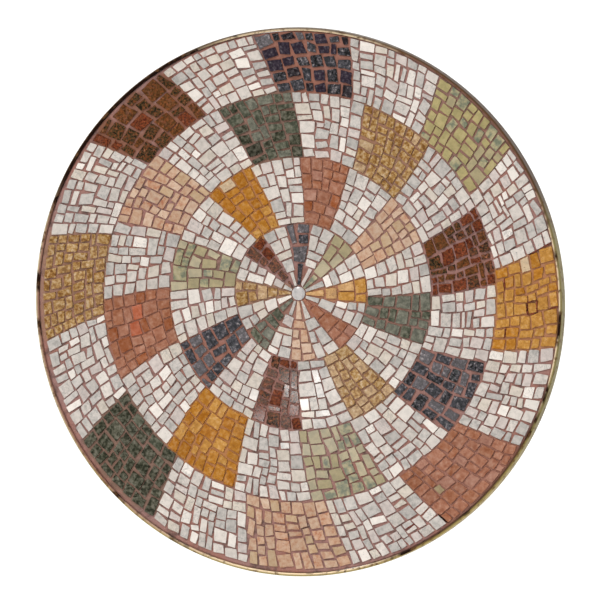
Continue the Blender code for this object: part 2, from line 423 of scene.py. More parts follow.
def stone_outlines(corners, joint, stray, ragged, draw):
    """Middles (stone, 2), directions and reaches (stone, step) of many stones' outlines.

    A stone is its own cut block of four straight sides, squarer than its cell and turned a
    little. A corner past a side of the cell is put back on it: it loses the excess of
    corner . normal over the side's distance, along the normal.
    """
    count = len(corners)
    middle = corners.mean(axis=1)
    ahead = np.roll(corners, -1, axis=1)
    side = ahead - corners
    normal = np.stack([side[..., 1], -side[..., 0]], -1)
    normal /= np.linalg.norm(normal, axis=-1, keepdims=True)
    spread = draw.uniform(*JOINT_SPREAD, (count, 4))
    half_joint = joint / 2 * (spread + JOINT_GAPE * draw.random((count, 4)) ** 5)
    to_side = (corners + ahead) / 2 - middle[:, None]
    distance = np.maximum((to_side * normal).sum(-1) - CLOSEST, LEAST_REACH)

    heading = np.arctan2(normal[..., 1], normal[..., 0]) - QUARTERS
    heading = np.angle(np.exp(1j * heading).mean(axis=1))
    heading += np.radians(draw.normal(0, stray, count))
    turn = heading[:, None] + QUARTERS + np.radians(draw.normal(0, stray, (count, 4)))
    own = np.stack([np.cos(turn), np.sin(turn)], -1)
    own_distance = (to_side * own).sum(-1) - half_joint * draw.uniform(*SIDE_SPREAD, (count, 4))
    own_distance = np.maximum(own_distance, LEAST_REACH)

    follow = np.roll(own, -1, axis=1)
    follow_distance = np.roll(own_distance, -1, axis=1)
    cross = own[..., 0] * follow[..., 1] - own[..., 1] * follow[..., 0]
    x = (own_distance * follow[..., 1] - follow_distance * own[..., 1]) / cross
    z = (own[..., 0] * follow_distance - follow[..., 0] * own_distance) / cross
    end = np.stack([x, z], -1)
    for side_normal, far in zip(normal.transpose(1, 0, 2), distance.T):
        excess = np.maximum((end * side_normal[:, None]).sum(-1) - far[:, None], 0)
        end -= excess[..., None] * side_normal[:, None]

    begin = np.roll(end, 1, axis=1)
    part = np.arange(SIDE_STEPS)[None, None, :, None] / SIDE_STEPS
    along = (begin[:, :, None] * (1 - part) + end[:, :, None] * part).reshape(count, -1, 2)
    reach = np.linalg.norm(along, axis=-1)
    direction = along / reach[..., None]
    chips = draw.random(reach.shape) ** 6 * ragged * CHIP
    reach = reach - draw.uniform(0, ragged, reach.shape) - chips
    reach[:, ::SIDE_STEPS] -= draw.random((count, 4)) ** 3 * CORNER_CHIP
    return middle, direction, np.maximum(reach, LEAST_REACH)


def stone_points(middle, direction, reach, draw):
    """Points of every stone as (stone, ring of points, step, 3), and its front middle.

    Three rings share the outline: one in the bed, one under the arris and one on the face,
    which is drawn in by the arris. A face is a plane, tilted a little, and sunk so far that
    its highest corner is just under the panel's face. Those that mirror the lamp lie level.
    """
    count, steps = reach.shape
    inner = np.maximum(reach - ARRIS_WIDTH, reach * 0.7)
    slope = draw.normal(0, TILT, (count, 2))
    slope[np.linalg.norm(middle - (GLARE_RIGHT, GLARE_HIGH), axis=1) < GLARE_REACH] = 0
    outline = middle[:, None] + direction * reach[..., None]
    face_line = middle[:, None] + direction * inner[..., None]
    lift = np.einsum("nkc,nc->nk", direction * inner[..., None], slope)
    level = STONE_FACE - lift.max(axis=1) - draw.uniform(*SUNK, count)
    face_depth = level[:, None] + lift
    rings = np.empty((count, 3, steps, 3))
    rings[:, 0, :, [0, 2]] = outline.transpose(2, 0, 1)
    rings[:, 1, :, [0, 2]] = outline.transpose(2, 0, 1)
    rings[:, 2, :, [0, 2]] = face_line.transpose(2, 0, 1)
    rings[:, 0, :, 1] = -(STONE_FACE - STONE_BED)
    rings[:, 1, :, 1] = -(face_depth - ARRIS_DEPTH)
    rings[:, 2, :, 1] = -face_depth
    top = np.stack([middle[:, 0], -level, middle[:, 1]], -1)
    return rings, top


def add_stones(name, outlines, material, draw, odd=(), span=(0, 1)):
    """One mesh of many closed stones: walls, arris, a fan on the face and a flat back.

    A stone's tone is drawn from this span of the tones' shares. The stone nearest to each odd
    place, x and z, takes its given level in place of a drawn one.
    """
    middle, direction, reach = (np.concatenate(part) for part in zip(*outlines))
    rings, top = stone_points(middle, direction, reach, draw)
    count, _, steps, _ = rings.shape
    points = np.concatenate([rings.reshape(count, -1, 3), top[:, None]], axis=1)
    first = np.arange(count)[:, None, None] * points.shape[1]
    step = np.arange(steps)
    after = (step + 1) % steps
    walls = [np.stack([low + step, low + after, low + steps + after, low + steps + step], -1)
             for low in (0, steps)]
    fan = np.stack([2 * steps + step, 2 * steps + after, np.full(steps, 3 * steps)], -1)
    back = step[::-1][None]
    faces = [(first + part[None]).reshape(-1, part.shape[1]) for part in (*walls, fan, back)]
    piece = fill_mesh(name, points.reshape(-1, 3), faces, material, smooth=False)
    draws = draw.random((count, 3))
    draws[:, 0] = ODD_FROM * (span[0] + (span[1] - span[0]) * draws[:, 0])
    for x, z, level in odd:
        nearest = np.linalg.norm(middle - (x, z), axis=1).argmin()
        draws[nearest, 0] = level
    draws = np.repeat(draws, points.shape[1], axis=0)
    attribute = piece.data.attributes.new("stone_draws", "FLOAT_VECTOR", "POINT")
    attribute.data.foreach_set("vector", draws.ravel())
    return piece


def lay_field(ring, field, sizes, joint, stray, ragged):
    """Outlines of one field's stones, always the same ones for the same field."""
    draw = np.random.default_rng([SETTING_SEED, ring, field])
    corners = cell_corners(ring, field, set_out(ring, RING_EDGES[ring + 1], sizes, draw))
    laid_fields.append(corners)
    return stone_outlines(corners, joint, stray, ragged, draw)


def tone_ramp(tree, height, rows, interpolation):
    """Colour picked by a height from rows of level and colour, and the row's strength if any."""
    ramp = add_node(tree, "ShaderNodeValToRGB", {"Fac": height})
    ramp.color_ramp.interpolation = interpolation
    stops = ramp.color_ramp.elements
    for number, (level, colour, *strength) in enumerate(rows):
        stop = stops[number] if number < 2 else stops.new(level)
        stop.position = level
        stop.color = (*tone(colour)[:3], *(strength or [1.0]))
    return ramp.outputs


def work_out(tree, operation, *values):
    """Result of one sum on one or two values, such as ADD, MULTIPLY or MAXIMUM."""
    feeds = dict(enumerate(values))
    return add_node(tree, "ShaderNodeMath", feeds, operation=operation).outputs[0]


def polished_stone(name, tones, mottle, patch, grain, grain_depth, flecks, veins, shine, odd=()):
    """Material of one kind of stone.

    tones: rows of share, a stone's main colour and how much its mottling covers that; mottle:
    rows of cloud height and colour; patch, grain: widths of the clouds and of the crystals;
    grain_depth: how much the crystals differ; flecks: rows of width, level they start from, and
    colour; veins: colour, spacing, width and strength; shine: roughness of the polish; odd: rows
    of level, colour and cover for stones set apart. Each stone's own draws pick its tone and
    shift the pattern, so that none runs on to the next.
    """
    material, tree, shader, place = new_material(name, Specular_IOR_Level=0.5)
    draws = add_node(tree, "ShaderNodeAttribute", {}, attribute_name="stone_draws").outputs["Vector"]
    pick = add_node(tree, "ShaderNodeSeparateXYZ", {0: draws}).outputs
    feeds = {0: draws, 1: PATTERN_SHIFT, 2: place}
    own = add_node(tree, "ShaderNodeVectorMath", feeds, operation="MULTIPLY_ADD").outputs[0]

    begin = ODD_FROM * np.cumsum([0.0] + [row[0] for row in tones])
    rows = [(level, *row[1:]) for level, row in zip(begin, tones)]
    main = tone_ramp(tree, pick[0], rows + list(odd), "CONSTANT")
    mottled = tone_ramp(tree, cloud(tree, own, patch, 5.0, Roughness=0.62), mottle, "LINEAR")
    colour = blend(tree, main[1], main[0], mottled[0])

    feeds = {"Vector": own, "Scale": 1 / grain}
    crystals = add_node(tree, "ShaderNodeTexVoronoi", feeds).outputs["Color"]
    crystal = add_node(tree, "ShaderNodeSeparateXYZ", {0: crystals}).outputs[0]
    shade = between(tree, crystal, 0.0, 1.0, 1 - grain_depth, 1 + grain_depth)
    shade = work_out(tree, "MULTIPLY", shade, between(tree, pick[1], 0.0, 1.0, *OWN_LIGHT))
    shade = add_node(tree, "ShaderNodeCombineXYZ", {0: shade, 1: shade, 2: shade}).outputs[0]
    colour = blend(tree, 1.0, colour, shade, "MULTIPLY")

    vein_colour, spacing, width, strength = veins
    ridge = cloud(tree, own, spacing, 3.0, Distortion=0.8)
    ridge = work_out(tree, "ABSOLUTE", work_out(tree, "SUBTRACT", ridge, 0.5))
    line = between(tree, ridge, 0.0, width, 1.0, 0.0)
    line = work_out(tree, "MULTIPLY", line, between(tree, pick[2], *VEINED, 0.0, strength))
    colour = blend(tree, line, colour, tone(vein_colour))

    height = crystal
    for size, level, fleck in flecks:
        spot = between(tree, cloud(tree, own, size, 2.0), level, level + FLECK_EDGE)
        colour = blend(tree, spot, colour, tone(fleck))
        height = work_out(tree, "SUBTRACT", height, spot)
    roughness = between(tree, cloud(tree, place, WEAR_SIZE), 0.0, 1.0, shine - WEAR, shine + WEAR)
    dress(tree, shader, colour, roughness, height, STONE_BUMP)
    return material


WHITE_SIZES = (0.0085, 0.0110, 0.0130, 0.0145, 0.0155, 0.0172)
WHITE_FIELDS = (("inner_rings", (0, 1)), ("third_ring", (2,)), ("outer_ring", (3,)))
white_marble = polished_stone(
    "white_marble", WHITE_TONES, WHITE_MOTTLE, patch=0.0055, grain=0.0012, grain_depth=0.02,
    flecks=((0.0016, 0.69, (140, 139, 136)),), veins=((132, 131, 129), 0.007, 0.035, 0.6), shine=0.09)
for ring_name, rings in WHITE_FIELDS:
    for number in range(1, 9):
        outlines = [lay_field(ring, 2 * number - 1, WHITE_SIZES, joint=0.0011, stray=4.6,
                              ragged=0.00010) for ring in rings]
        node = f"{ring_name}_white_stones_{number}"
        field_draw = np.random.default_rng([SETTING_SEED, rings[0], number, 9])
        white_field = add_stones(node + "_set", outlines, white_marble, field_draw)
        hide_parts(node)
        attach(white_field, "root")


# Navy stones
# Very dark blue-grey marble, mottled black, green and plum, in larger loose stones with wide
# joints, one field in each ring.
COLOURS = ("navy", "olive", "yellow", "terracotta", "peach", "green", "ochre", "red_brown")
RING_NAMES = ("inner_ring", "second_ring", "third_ring", "outer_ring")
TINT_NEAR = 0.0088
TINT_FAR = 0.0112
NAVY_TONES = (
    (0.16, (36, 27, 30), 0.35),
    (0.22, (46, 34, 48), 0.30),
    (0.22, (42, 46, 44), 0.75),
    (0.22, (72, 73, 77), 0.65),
    (0.18, (124, 118, 119), 0.60),
)
NAVY_MOTTLE = (
    (0.40, (14, 8, 12)),
    (0.46, (38, 38, 38)),
    (0.52, (62, 60, 66)),
    (0.59, (94, 88, 92)),
    (0.68, (176, 166, 164)),
)


def tint_joints(corners, colour, strength):
    """Tint the front of the mortar bed round these cells with stone dust of this colour.

    The share falls from strength to 0 as the way to the nearest cell's middle grows from
    TINT_NEAR to TINT_FAR.
    """
    mesh = mortar_bed.data
    places = np.empty((len(mesh.vertices), 3))
    mesh.vertices.foreach_get("co", places.ravel())
    middles = corners.mean(axis=1)
    way = np.full(len(places), np.inf)
    low, high = middles.min(axis=0) - TINT_FAR, middles.max(axis=0) + TINT_FAR
    flat = places[:, [0, 2]]
    in_front = places[:, 1] < 0
    close = np.nonzero(((flat > low) & (flat < high)).all(axis=1) & in_front)[0]
    way[close] = np.linalg.norm(flat[close, None] - middles[None], axis=-1).min(axis=1)
    share = np.clip((TINT_FAR - way) / (TINT_FAR - TINT_NEAR), 0, 1) * strength

    tints, shares = mesh.attributes["joint_tint"].data, mesh.attributes["joint_tint_share"].data
    old_tints, old_shares = np.empty((len(places), 3)), np.empty(len(places))
    tints.foreach_get("vector", old_tints.ravel())
    shares.foreach_get("value", old_shares)
    stronger = share > old_shares
    old_tints[stronger] = tone(colour)[:3]
    old_shares[stronger] = share[stronger]
    tints.foreach_set("vector", old_tints.ravel())
    shares.foreach_set("value", old_shares)


def add_coloured_fields(colour, stone, sizes, joint, stray, ragged, rings, tint, odd=(),
                        outer_growth=1.0):
    """The four fields of one colour, one in each ring, each standing for its CAD node.

    sizes, joint: widths of stones and joints; stray: how far sides turn; ragged: how rough edges
    are; rings: rows of the span of tones that a ring's stones come from, low and high, and how
    much of the tint its joints take; odd: rows of ring, x, z and level; outer_growth: how much
    larger the outer ring's stones are.
    """
    for ring, (ring_name, (low, high, strength)) in enumerate(zip(RING_NAMES, rings)):
        field = 2 * ((COLOURS.index(colour) + RING_NAVY[ring]) % 8)
        growth = outer_growth if ring == OUTER_RING else 1.0
        ring_sizes = [size * growth for size in sizes]
        outlines = [lay_field(ring, field, ring_sizes, joint, stray, ragged)]
        tint_joints(laid_fields[-1], tint, strength)
        node = f"{ring_name}_{colour}_stones"
        field_draw = np.random.default_rng([SETTING_SEED, ring, field, 9])
        set_apart = [row[1:] for row in odd if row[0] == ring]
        piece = add_stones(node + "_set", outlines, stone, field_draw, set_apart, (low, high))
        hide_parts(node)
        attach(piece, "root")


navy_stone = polished_stone(
    "navy_stone", NAVY_TONES, NAVY_MOTTLE, patch=0.0032, grain=0.0009, grain_depth=0.14,
    flecks=((0.0015, 0.66, (10, 8, 12)),), veins=((126, 130, 126), 0.009, 0.012, 0.4), shine=0.15)
add_coloured_fields(
    "navy", navy_stone, (0.0110, 0.0145, 0.0170, 0.0195), joint=0.0019, stray=5.5, ragged=0.00030,
    rings=((0.7, 1.0, 0.4), (0.6, 1.0, 0.6), (0.4, 1.0, 0.2), (0.0, 0.85, 0.6)), tint=(146, 92, 70))


# Olive stones
# Plain olive-yellow limestone, and among it about a third of stones with green blotches.
OLIVE_TONES = (
    (0.26, (167, 151, 98), 0.30),
    (0.16, (142, 136, 106), 0.80),
    (0.20, (160, 146, 112), 0.20),
    (0.22, (178, 165, 138), 0.25),
    (0.16, (152, 147, 129), 0.75),
)
OLIVE_MOTTLE = (
    (0.40, (98, 106, 90)),
    (0.47, (130, 129, 106)),
    (0.55, (164, 153, 117)),
    (0.65, (178, 166, 138)),
)
olive_stone = polished_stone(
    "olive_stone", OLIVE_TONES, OLIVE_MOTTLE, patch=0.0080, grain=0.0012, grain_depth=0.03,
    flecks=((0.0018, 0.72, (106, 100, 72)),), veins=((130, 120, 88), 0.012, 0.015, 0.4), shine=0.15)
add_coloured_fields(
    "olive", olive_stone, (0.0105, 0.0135, 0.0155, 0.0172), joint=0.0014, stray=4.6, ragged=0.00015,
    rings=((0.35, 1.0, 0.3), (0.2, 1.0, 0.3), (0.4, 1.0, 0.0), (0.0, 0.5, 0.3)), tint=(126, 100, 80))


# Yellow stones
# Golden-yellow marble, deep in places and honey-pale in others, with fine brown specks.
YELLOW_TONES = (
    (0.24, (158, 98, 18), 0.40),
    (0.24, (172, 114, 34), 0.40),
    (0.32, (188, 140, 70), 0.45),
    (0.20, (198, 164, 122), 0.45),
)
YELLOW_MOTTLE = (
    (0.38, (124, 68, 10)),
    (0.45, (156, 98, 26)),
    (0.53, (176, 122, 54)),
    (0.63, (198, 156, 106)),
)
YELLOW_ODD = ((0.92, (206, 190, 162), 0.3),)
yellow_stone = polished_stone(
    "yellow_stone", YELLOW_TONES, YELLOW_MOTTLE, patch=0.0045, grain=0.0011, grain_depth=0.06,
    flecks=((0.0015, 0.66, (96, 50, 16)),), veins=((150, 90, 40), 0.010, 0.025, 0.5), shine=0.14,
    odd=YELLOW_ODD)
add_coloured_fields(
    "yellow", yellow_stone, (0.0105, 0.0130, 0.0150, 0.0168), joint=0.0012, stray=3.8,
    ragged=0.00025, tint=(174, 118, 68),
    rings=((0.6, 1.0, 0.5), (0.0, 0.6, 0.9), (0.0, 0.6, 0.9), (0.40, 0.82, 0.7)),
    odd=((3, 0.2597, 0.0369, 0.95), (1, -0.0784, 0.1269, 0.95)))


# Terracotta stones
# Brick-orange limestone whose joints have nearly its own colour, with fine red specks.
TERRACOTTA_TONES = (
    (0.14, (140, 74, 32), 0.40),
    (0.30, (150, 98, 70), 0.50),
    (0.30, (156, 108, 86), 0.50),
    (0.26, (166, 125, 109), 0.45),
)
TERRACOTTA_MOTTLE = (
    (0.38, (116, 54, 26)),
    (0.45, (145, 91, 66)),
    (0.54, (158, 108, 85)),
    (0.63, (178, 136, 116)),
)
TERRACOTTA_ODD = ((0.92, (178, 90, 58), 0.35), (0.96, (146, 136, 104), 0.2))
terracotta_stone = polished_stone(
    "terracotta_stone", TERRACOTTA_TONES, TERRACOTTA_MOTTLE, patch=0.0050, grain=0.0011,
    grain_depth=0.05, flecks=((0.0013, 0.70, (112, 48, 28)), (0.0012, 0.73, (206, 186, 174))),
    veins=((138, 82, 60), 0.010, 0.025, 0.4), shine=0.16, odd=TERRACOTTA_ODD)
add_coloured_fields(
    "terracotta", terracotta_stone, (0.0105, 0.0130, 0.0150, 0.0168), joint=0.0008, stray=3.2,
    ragged=0.00020, tint=(156, 104, 82),
    rings=((0.1, 1.0, 0.8), (0.0, 0.9, 0.8), (0.0, 0.7, 0.8), (0.2, 1.0, 0.6)),
    odd=((2, -0.1820, -0.0113, 0.94), (2, -0.1911, -0.0256, 0.94), (3, 0.1663, -0.2041, 0.98)))


# Peach stones
# Pale peach and beige limestone, a few stones pinker.
PEACH_TONES = (
    (0.14, (180, 130, 102), 0.60),
    (0.26, (184, 148, 121), 0.50),
    (0.30, (188, 158, 134), 0.45),
    (0.14, (178, 153, 120), 0.30),
    (0.16, (199, 173, 151), 0.40),
)
PEACH_MOTTLE = (
    (0.38, (160, 98, 70)),
    (0.45, (178, 138, 110)),
    (0.54, (190, 159, 134)),
    (0.64, (198, 173, 151)),
)
peach_stone = polished_stone(
    "peach_stone", PEACH_TONES, PEACH_MOTTLE, patch=0.0050, grain=0.0012, grain_depth=0.035,
    flecks=((0.0013, 0.70, (124, 72, 52)),), veins=((166, 122, 98), 0.010, 0.02, 0.5), shine=0.15)
add_coloured_fields(
    "peach", peach_stone, (0.0100, 0.0125, 0.0145, 0.0165), joint=0.0012, stray=4.4, ragged=0.00015,
    rings=((0.2, 1.0, 0.5), (0.15, 1.0, 0.4), (0.0, 1.0, 0.0), (0.0, 0.9, 0.0)), tint=(158, 118, 100))


# Green stones
# Dark sage-green marble with black spots and paler clouds.
GREEN_TONES = (
    (0.22, (58, 62, 46), 0.62),
    (0.26, (76, 78, 62), 0.72),
    (0.26, (96, 102, 84), 0.65),
    (0.26, (126, 127, 113), 0.55),
)
GREEN_MOTTLE = (
    (0.39, (14, 13, 6)),
    (0.45, (46, 45, 33)),
    (0.50, (80, 77, 64)),
    (0.57, (100, 97, 84)),
    (0.64, (124, 118, 105)),
)
GREEN_ODD = ((0.92, (40, 40, 30), 0.4),)
green_stone = polished_stone(
    "green_stone", GREEN_TONES, GREEN_MOTTLE, patch=0.0040, grain=0.0010, grain_depth=0.13,
    flecks=((0.0018, 0.70, (12, 14, 10)),), veins=((128, 128, 114), 0.011, 0.015, 0.4), shine=0.15,
    odd=GREEN_ODD)
add_coloured_fields(
    "green", green_stone, (0.0105, 0.0140, 0.0160, 0.0182), joint=0.0012, stray=4.6, ragged=0.00030,
    rings=((0.5, 1.0, 0.4), (0.55, 1.0, 0.5), (0.1, 1.0, 0.7), (0.0, 0.6, 0.8)), tint=(122, 96, 80),
    odd=((2, -0.0534, 0.1656, 0.95),))


# Ochre stones
# Sandy ochre limestone, much veined, with purple-brown specks and pits.
OCHRE_TONES = (
    (0.20, (146, 106, 52), 0.70),
    (0.28, (158, 122, 66), 0.70),
    (0.26, (168, 134, 88), 0.65),
    (0.26, (190, 163, 131), 0.50),
)
OCHRE_MOTTLE = (
    (0.38, (90, 50, 20)),
    (0.44, (132, 91, 46)),
    (0.50, (162, 126, 76)),
    (0.57, (178, 148, 108)),
    (0.64, (198, 174, 146)),
)
ochre_stone = polished_stone(
    "ochre_stone", OCHRE_TONES, OCHRE_MOTTLE, patch=0.0038, grain=0.0010, grain_depth=0.08,
    flecks=((0.0014, 0.67, (96, 60, 46)), (0.0019, 0.75, (52, 28, 20))),
    veins=((134, 94, 72), 0.008, 0.03, 0.5), shine=0.17)
add_coloured_fields(
    "ochre", ochre_stone, (0.0100, 0.0125, 0.0145, 0.0165), joint=0.0011, stray=4.2, ragged=0.00025,
    rings=((0.3, 1.0, 0.5), (0.4, 1.0, 0.6), (0.0, 0.85, 0.5), (0.0, 0.75, 0.4)), tint=(150, 114, 78))


# Red-brown stones
# Dark red-brown breccia, specked with brick, black and grey-green grains.
RED_BROWN_TONES = (
    (0.32, (58, 50, 28), 0.75),
    (0.16, (114, 66, 28), 0.64),
    (0.20, (126, 44, 26), 0.68),
    (0.14, (92, 60, 54), 0.80),
    (0.18, (130, 96, 90), 0.75),
)
RED_BROWN_MOTTLE = (
    (0.40, (12, 4, 3)),
    (0.45, (48, 32, 16)),
    (0.49, (84, 68, 40)),
    (0.54, (88, 48, 28)),
    (0.58, (136, 64, 28)),
    (0.62, (88, 64, 44)),
    (0.68, (178, 116, 82)),
)
red_brown_stone = polished_stone(
    "red_brown_stone", RED_BROWN_TONES, RED_BROWN_MOTTLE, patch=0.0025, grain=0.0009,
    grain_depth=0.22, flecks=((0.0013, 0.65, (22, 12, 10)),),
    veins=((140, 98, 86), 0.010, 0.02, 0.4), shine=0.09)
add_coloured_fields(
    "red_brown", red_brown_stone, (0.0085, 0.0125, 0.0145, 0.0170), joint=0.0014, stray=5.5,
    ragged=0.00045, tint=(128, 82, 58), outer_growth=1.35,
    rings=((0.2, 1.0, 0.0), (0.62, 1.0, 0.0), (0.2, 0.8, 0.0), (0.0, 0.6, 0.8)))


# Middle stone
# One small round of pale grey marble that all the fields point to.
MIDDLE_STEPS = 40
MIDDLE_GAP = 0.0002
MIDDLE_SUNK = 0.00002
MIDDLE_WOBBLE = 0.012
MIDDLE_WOBBLE_SIZE = 0.004
MIDDLE_GREY = (
    (0.5, (204, 202, 202), 0.5),
    (0.5, (208, 206, 206), 0.5),
)
middle_low, middle_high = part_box("middle_stone")


def add_middle_stone():
    """Turned round with a small arris; its rim strays from round by hills of 0.1 mm."""
    middle = ((middle_low.x + middle_high.x) / 2, (middle_low.z + middle_high.z) / 2)
    radius = (middle_high.x - middle_low.x) / 2 - MIDDLE_GAP
    radii = radius - np.array([radius * 0.6, ARRIS_WIDTH, 0.0, 0.0, radius * 0.5])
    face = STONE_FACE - MIDDLE_SUNK
    depths = (face, face, face - ARRIS_DEPTH, face - STONE_BED, face - STONE_BED)
    points = turned_points(radii, depths, MIDDLE_STEPS, middle)
    wobble = 1 + MIDDLE_WOBBLE * hills(points[2, :, 0], points[2, :, 2], MIDDLE_WOBBLE_SIZE, 5)
    for axis in (0, 2):
        centre = middle[axis // 2]
        points[..., axis] = centre + (points[..., axis] - centre) * wobble
    front = (middle[0], -face, middle[1])
    back = (middle[0], -(face - STONE_BED), middle[1])
    stone = polished_stone(
        "grey_marble", MIDDLE_GREY, WHITE_MOTTLE, patch=0.005, grain=0.0012, grain_depth=0.02,
        flecks=((0.0014, 0.72, (160, 160, 160)),), veins=((166, 168, 170), 0.008, 0.02, 0.4),
        shine=0.14)
    return add_turned_solid("middle_stone_set", points, front, back, stone)


middle_stone = add_middle_stone()
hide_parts("middle_stone")
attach(middle_stone, "root")


# Dirt and painted shade in the open joints
# Where stones have worked a little loose, mostly in the outer yellow field, the joints beside
# them have opened and hold dark red-brown dirt and wax, pressed in level with the stones; its
# dark colour is also painted shade of the open gaps.
DIRT_STEPS = 9
DIRT_WIDTH = 0.0009
DIRT_DEPTH = 0.0016
DIRT_SUNK = 0.00004
DIRT_STRAY = 0.0004
DIRT_STRAY_SIZE = 0.004
DIRT_SWELL_SIZE = 0.002
DIRT_LUMP = 0.0025
LUMP_LEVELS = (0.42, 0.6)
DIRT_BUMP = 0.0002
# The red and the black stand for dirt and also for painted shade in the open joints.
DIRT_AND_SHADE_RED = (134, 54, 30)
DIRT_AND_SHADE_BLACK = (84, 34, 22)
OPEN_JOINTS = (
    (0.2720, 0.0530, (3,)),
    (0.2850, 0.0600, (3,)),
    (0.2850, 0.0030, (1,)),
    (0.2665, -0.0057, (0, 1, 2, 3)),
    (0.2480, -0.0048, (2,)),
    (0.2404, 0.0213, (0,)),
    (0.2404, -0.0279, (0,)),
    (0.1572, -0.2316, (3,)),
    (0.1660, -0.2420, (3,)),
    (0.1311, -0.2374, (2,)),
    (0.1425, 0.0891, (2,)),
)


def dirt_and_shade_material():
    """Dark red-brown dirt, its colour also painted shade of the open joints, with blacker lumps and a
    rough surface.
    """
    material, tree, shader, place = new_material("joint_dirt_and_shade", Specular_IOR_Level=0.3)
    lumps = cloud(tree, place, DIRT_LUMP)
    colour = blend(tree, between(tree, lumps, *LUMP_LEVELS), tone(DIRT_AND_SHADE_RED), tone(DIRT_AND_SHADE_BLACK))
    dress(tree, shader, colour, between(tree, lumps, -1.0, 1.2), lumps, DIRT_BUMP)
    return material


def add_dirt_and_shade_strips():
    """Strips along sides of the cells nearest to the places in OPEN_JOINTS.

    A strip's middle line runs straight from one corner of the cell to the next and strays by
    hills. It is a bar of four sides, its half width DIRT_WIDTH / 2 swelling to the middle.
    """
    corners = np.concatenate(laid_fields)
    middles = corners.mean(axis=1)
    joints = []
    for x, z, sides in OPEN_JOINTS:
        cell = corners[np.linalg.norm(middles - (x, z), axis=1).argmin()]
        joints += [(cell[side], cell[(side + 1) % 4]) for side in sides]
    begin, end = np.array(joints).transpose(1, 0, 2)[:, :, None]
    part = np.linspace(0, 1, DIRT_STEPS)[None, :, None]
    line = begin * (1 - part) + end * part
    along = (end - begin) / np.linalg.norm(end - begin, axis=-1, keepdims=True)
    normal = along[..., ::-1] * (1, -1)
    stray = hills(line[..., 0], line[..., 1], DIRT_STRAY_SIZE, 31)[..., None]
    line = line + normal * stray * DIRT_STRAY
    swell = DIRT_WIDTH / 2 * (0.45 + 0.55 * np.sin(np.pi * part))
    swell = swell * (1 + 0.4 * hills(line[..., 0], line[..., 1], DIRT_SWELL_SIZE, 32)[..., None])
    left, right = line - normal * swell, line + normal * swell
    top = -(STONE_FACE - DIRT_SUNK)
    points = np.empty((len(joints), DIRT_STEPS, 4, 3))
    for corner, (edge, depth) in enumerate(((left, top), (right, top), (right, top + DIRT_DEPTH),
                                            (left, top + DIRT_DEPTH))):
        points[:, :, corner, [0, 2]] = edge
        points[:, :, corner, 1] = depth
    first = np.arange(len(joints))[:, None, None, None] * DIRT_STEPS * 4
    step = np.arange(DIRT_STEPS - 1)[None, :, None, None] * 4
    corner = np.arange(4)[None, None, :, None]
    after = (corner + 1) % 4
    walls = first + step + np.concatenate([corner, after, after + 4, corner + 4], axis=-1)
    start = first[:, 0, 0] + np.array([3, 2, 1, 0])
    finish = first[:, 0, 0] + (DIRT_STEPS - 1) * 4 + np.array([0, 1, 2, 3])
    faces = [np.concatenate([walls.reshape(-1, 4), start, finish])]
    return fill_mesh("joint_dirt_and_shade", points.reshape(-1, 3), faces, dirt_and_shade_material(), smooth=False)


joint_dirt_and_shade = add_dirt_and_shade_strips()
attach(joint_dirt_and_shade, "root")


# Edge band
# A brass strip bent round the slab, its front lip rounded over, tarnished black in short lengths,
# smeared with mortar in places, with a painted cream highlight on the inner side of its lip and
# painted dark reflections that change round the ring, blackest on the upper left.
BAND_STEPS = 480
BAND_FRONT = -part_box("edge_band")[0].y
BAND_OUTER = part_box("edge_band")[1].x
BAND_GAP = 0.0003
BAND_INNER = SLAB_RADIUS + BAND_GAP
BAND_LIP = 0.0012
LIP_STEPS = 6
LIP_SIDE = 0.0010
EDGE_START = 0.0006
EDGE_FULL = 0.0002
# The cream is a painted highlight and the rim colour a painted dark rim. The olive, grey, pale and
# gold outer colours are painted reflections that change by side.
BRASS_PAINTED_HIGHLIGHT = (232, 208, 172)
BRASS_OLIVE = (134, 122, 76)
BRASS_GREY = (108, 95, 80)
BRASS_PALE = (204, 186, 150)
BRASS_PINK = (160, 120, 102)
BRASS_BROWN = (96, 66, 40)
BRASS_GOLD = (170, 150, 92)
BRASS_SMEARED = (134, 96, 82)
BRASS_PAINTED_DARK_RIM = (84, 62, 42)
BRASS_BLACK = (36, 17, 8)
BRASS_GLOSS = 0.1
BRASS_BUMP = 0.00005
TOWARDS_SIDE = (0.08, 0.22)
TOWARDS_FOOT = (0.12, 0.20)
TOWARDS_CORNER = (0.36, 0.40)
TARNISH_SIZE = 0.030
TARNISH_LEVELS = (0.55, 0.62)
SPOT_SIZE = 0.006
SPOT_LEVELS = (0.53, 0.70)
BRASS_ROUGH = (0.45, 0.6)


